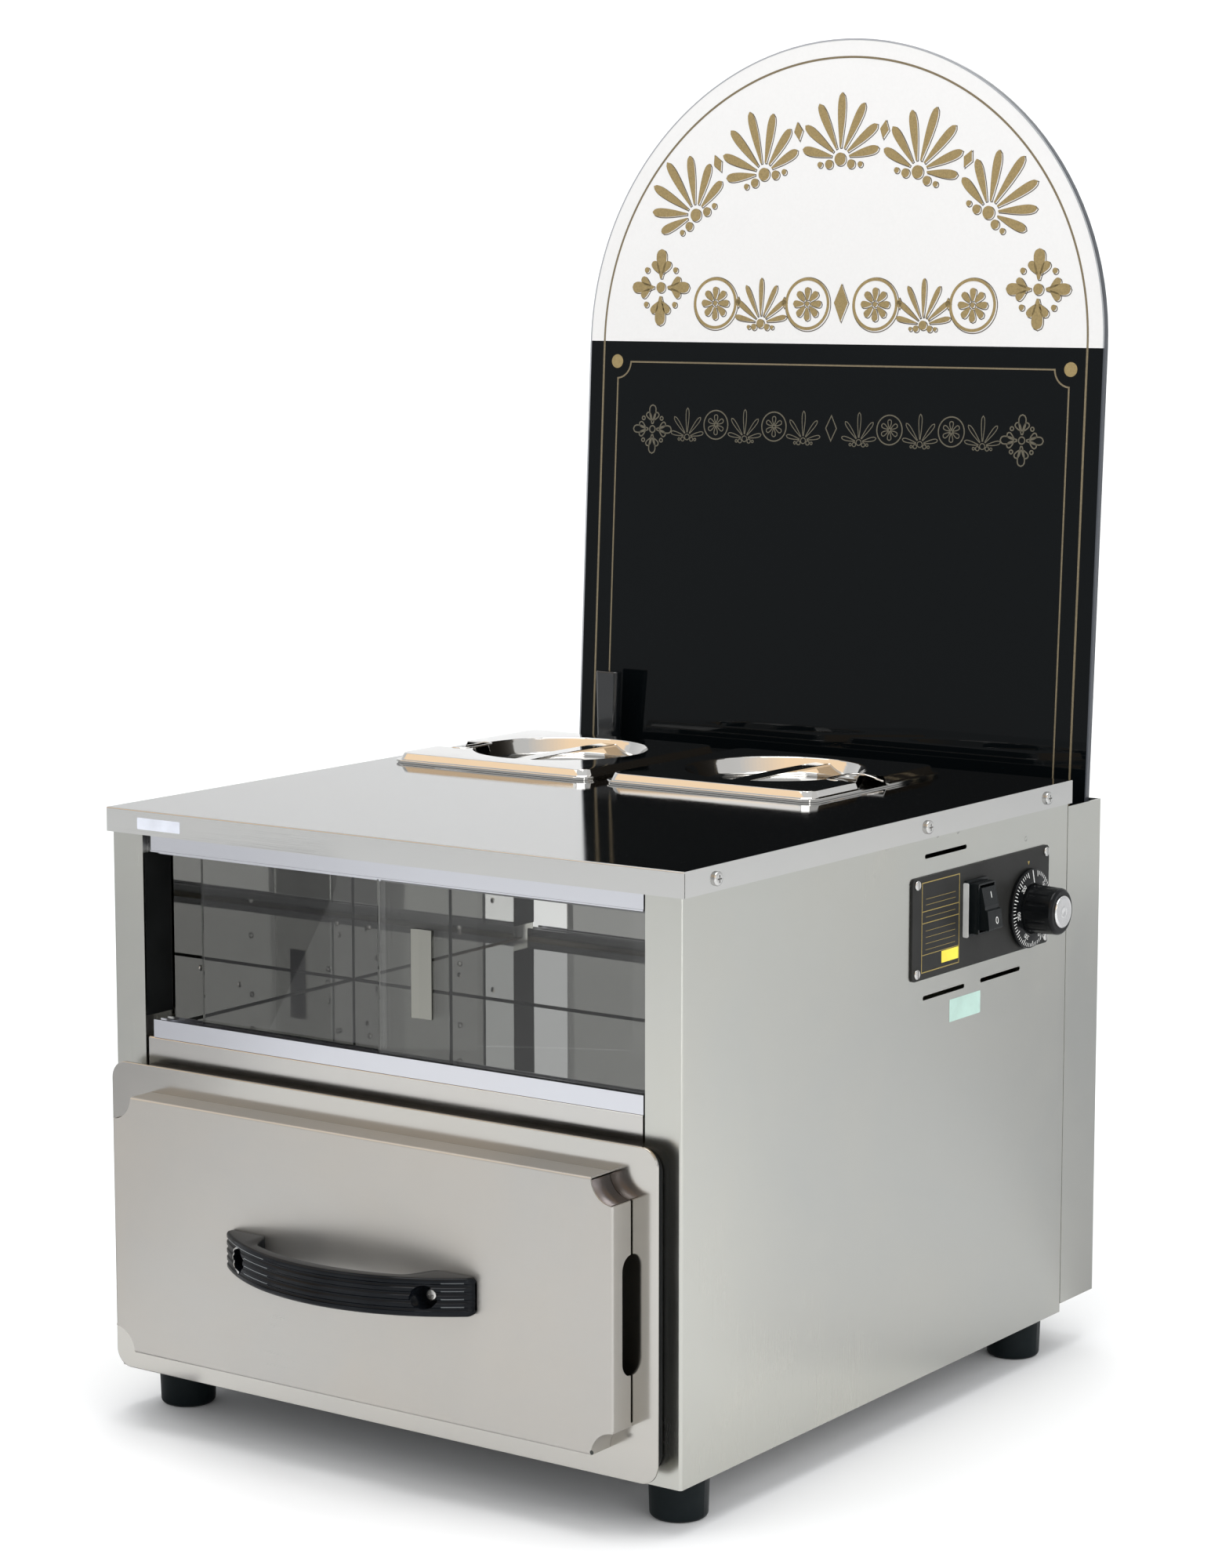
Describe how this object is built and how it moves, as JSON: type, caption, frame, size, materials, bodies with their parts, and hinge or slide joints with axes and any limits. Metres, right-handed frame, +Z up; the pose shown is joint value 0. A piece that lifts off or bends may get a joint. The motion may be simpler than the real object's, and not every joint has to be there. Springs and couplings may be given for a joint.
{
  "type": "counter-top baked potato oven",
  "caption": "Stainless counter oven with front baking drawer, glazed sliding-door display, lidded topping pans, side controls and arched board behind.",
  "frame": {"origin": "centre of the bounding box on the surface the feet stand on", "axes": "+Z up, +X to the right seen from the front, -Y towards the front with the drawer and glass"},
  "size_m": [0.5326, 0.6798, 1.0054],
  "materials": {
    "polished_steel": "polished stainless sheet",
    "satin_steel": "fine satin stainless sheet",
    "plate_steel": "semi-polished stainless sheet",
    "skin_steel": "satin stainless sheet",
    "mirror_steel": "mirror-polished stainless",
    "pressed_steel": "bright pressed stainless",
    "track_aluminium": "bright anodised extrusion",
    "sill_steel": "satin stainless sheet",
    "handle_plastic": "moulded gloss black",
    "pull_steel": "satin",
    "zinc_steel": "zinc-plated sheet",
    "oven_steel": "dull stainless sheet",
    "glass": "clear with a faint grey tint",
    "insulation": "mineral fibre",
    "element_sheath": "oxidised sheath",
    "ceramic": "glazed ceramic",
    "gasket_rubber": "matt silicone",
    "control_black": "satin black",
    "switch_plastic": "moulded black",
    "dial_plastic": "moulded black",
    "dial_silver": "spun silver",
    "screw_steel": "bright plated",
    "thermostat_metal": "plated",
    "copper_bulb": "copper",
    "gland_plastic": "moulded black",
    "foot_rubber": "moulded black",
    "sign_acrylic": "gloss black sheet with gold lines and a white arch",
    "knife_grip": "moulded black",
    "knife_steel": "polished blade"
  },
  "bodies": {
    "casing": {"base_tray": "zinc_steel", "side_panel_left": "satin_steel", "side_panel_right": "satin_steel", "back_panel": "satin_steel", "rear_cover": "satin_steel", "top_lid": "polished_steel", "lid_screws": "screw_steel", "rear_cover_screws": "screw_steel", "front_sill": "sill_steel", "glass_track_bottom": "track_aluminium", "glass_track_top": "track_aluminium", "display_liner": "mirror_steel", "divider_board": "insulation", "oven_chamber": "oven_steel", "insulation_blanket": "insulation", "heating_elements": "element_sheath", "element_bushes": "ceramic", "well_liner": "polished_steel", "well_heater": "element_sheath", "chamber_runners": "zinc_steel", "control_plate": "control_black", "control_plate_screws": "screw_steel", "switch_bezel": "switch_plastic", "switch_housing": "switch_plastic", "rocker_pin": "screw_steel", "thermostat_body": "thermostat_metal", "thermostat_bulb": "copper_bulb", "capillary_tube": "copper_bulb", "bulb_clips": "zinc_steel", "safety_cutout": "thermostat_metal", "terminal_block": "ceramic", "cable_gland": "gland_plastic", "feet": "foot_rubber", "foot_screws": "screw_steel", "foot_nuts": "screw_steel", "sign_brackets": "zinc_steel", "knife_holder": "zinc_steel"},
    "drawer": {"drawer_plate": "plate_steel", "drawer_gasket": "gasket_rubber", "drawer_skin": "skin_steel", "drawer_basket": "oven_steel", "drawer_rails": "zinc_steel", "drawer_handle": "handle_plastic", "handle_screws": "screw_steel", "handle_nuts": "screw_steel"},
    "front_pane": {"glass_pane_front": "glass", "pane_pull": "pull_steel"},
    "rear_pane": {"glass_pane_rear": "glass"},
    "knob": {"thermostat_dial": "dial_plastic", "dial_cap": "dial_silver", "thermostat_shaft": "screw_steel"},
    "rocker": {"switch_rocker": "switch_plastic"},
    "left_pan": {"pan_left": "pressed_steel"},
    "left_lid": {"pan_lid_left": "pressed_steel"},
    "right_pan": {"pan_right": "pressed_steel"},
    "right_lid": {"pan_lid_right": "pressed_steel"},
    "sign": {"sign_board": "sign_acrylic"},
    "knife": {"knife_handle": "knife_grip", "knife_blade": "knife_steel"}
  },
  "joints": [
    {"name": "drawer_slide", "type": "slide", "parent": "casing", "child": "drawer", "axis": [0, -1, 0], "range_m": [0, 0.33]},
    {"name": "front_pane_slide", "type": "slide", "parent": "casing", "child": "front_pane", "axis": [1, 0, 0], "range_m": [-0.21, 0]},
    {"name": "rear_pane_slide", "type": "slide", "parent": "casing", "child": "rear_pane", "axis": [1, 0, 0], "range_m": [-0.0435, 0.165]},
    {"name": "thermostat_turn", "type": "hinge", "parent": "casing", "child": "knob", "pos_m": [0.2418, 0.19713, 0.3564], "axis": [1, 0, 0], "range_deg": [-270, 0]},
    {"name": "switch_tilt", "type": "hinge", "parent": "casing", "child": "rocker", "pos_m": [0.2428, 0.11863, 0.369], "axis": [0, 1, 0], "range_deg": [0, 16]},
    {"name": "left_pan_lift", "type": "slide", "parent": "casing", "child": "left_pan", "axis": [0, 0, 1], "range_m": [0, 0.12]},
    {"name": "left_lid_lift", "type": "slide", "parent": "left_pan", "child": "left_lid", "axis": [0, 0, 1], "range_m": [0, 0.06]},
    {"name": "right_pan_lift", "type": "slide", "parent": "casing", "child": "right_pan", "axis": [0, 0, 1], "range_m": [0, 0.12]},
    {"name": "right_lid_lift", "type": "slide", "parent": "right_pan", "child": "right_lid", "axis": [0, 0, 1], "range_m": [0, 0.06]},
    {"name": "sign_lift", "type": "slide", "parent": "casing", "child": "sign", "axis": [0, 0.0523, 0.9986], "range_m": [0, 0.11]},
    {"name": "knife_lift", "type": "slide", "parent": "casing", "child": "knife", "axis": [0, 0, 1], "range_m": [0, 0.13]}
  ]
}
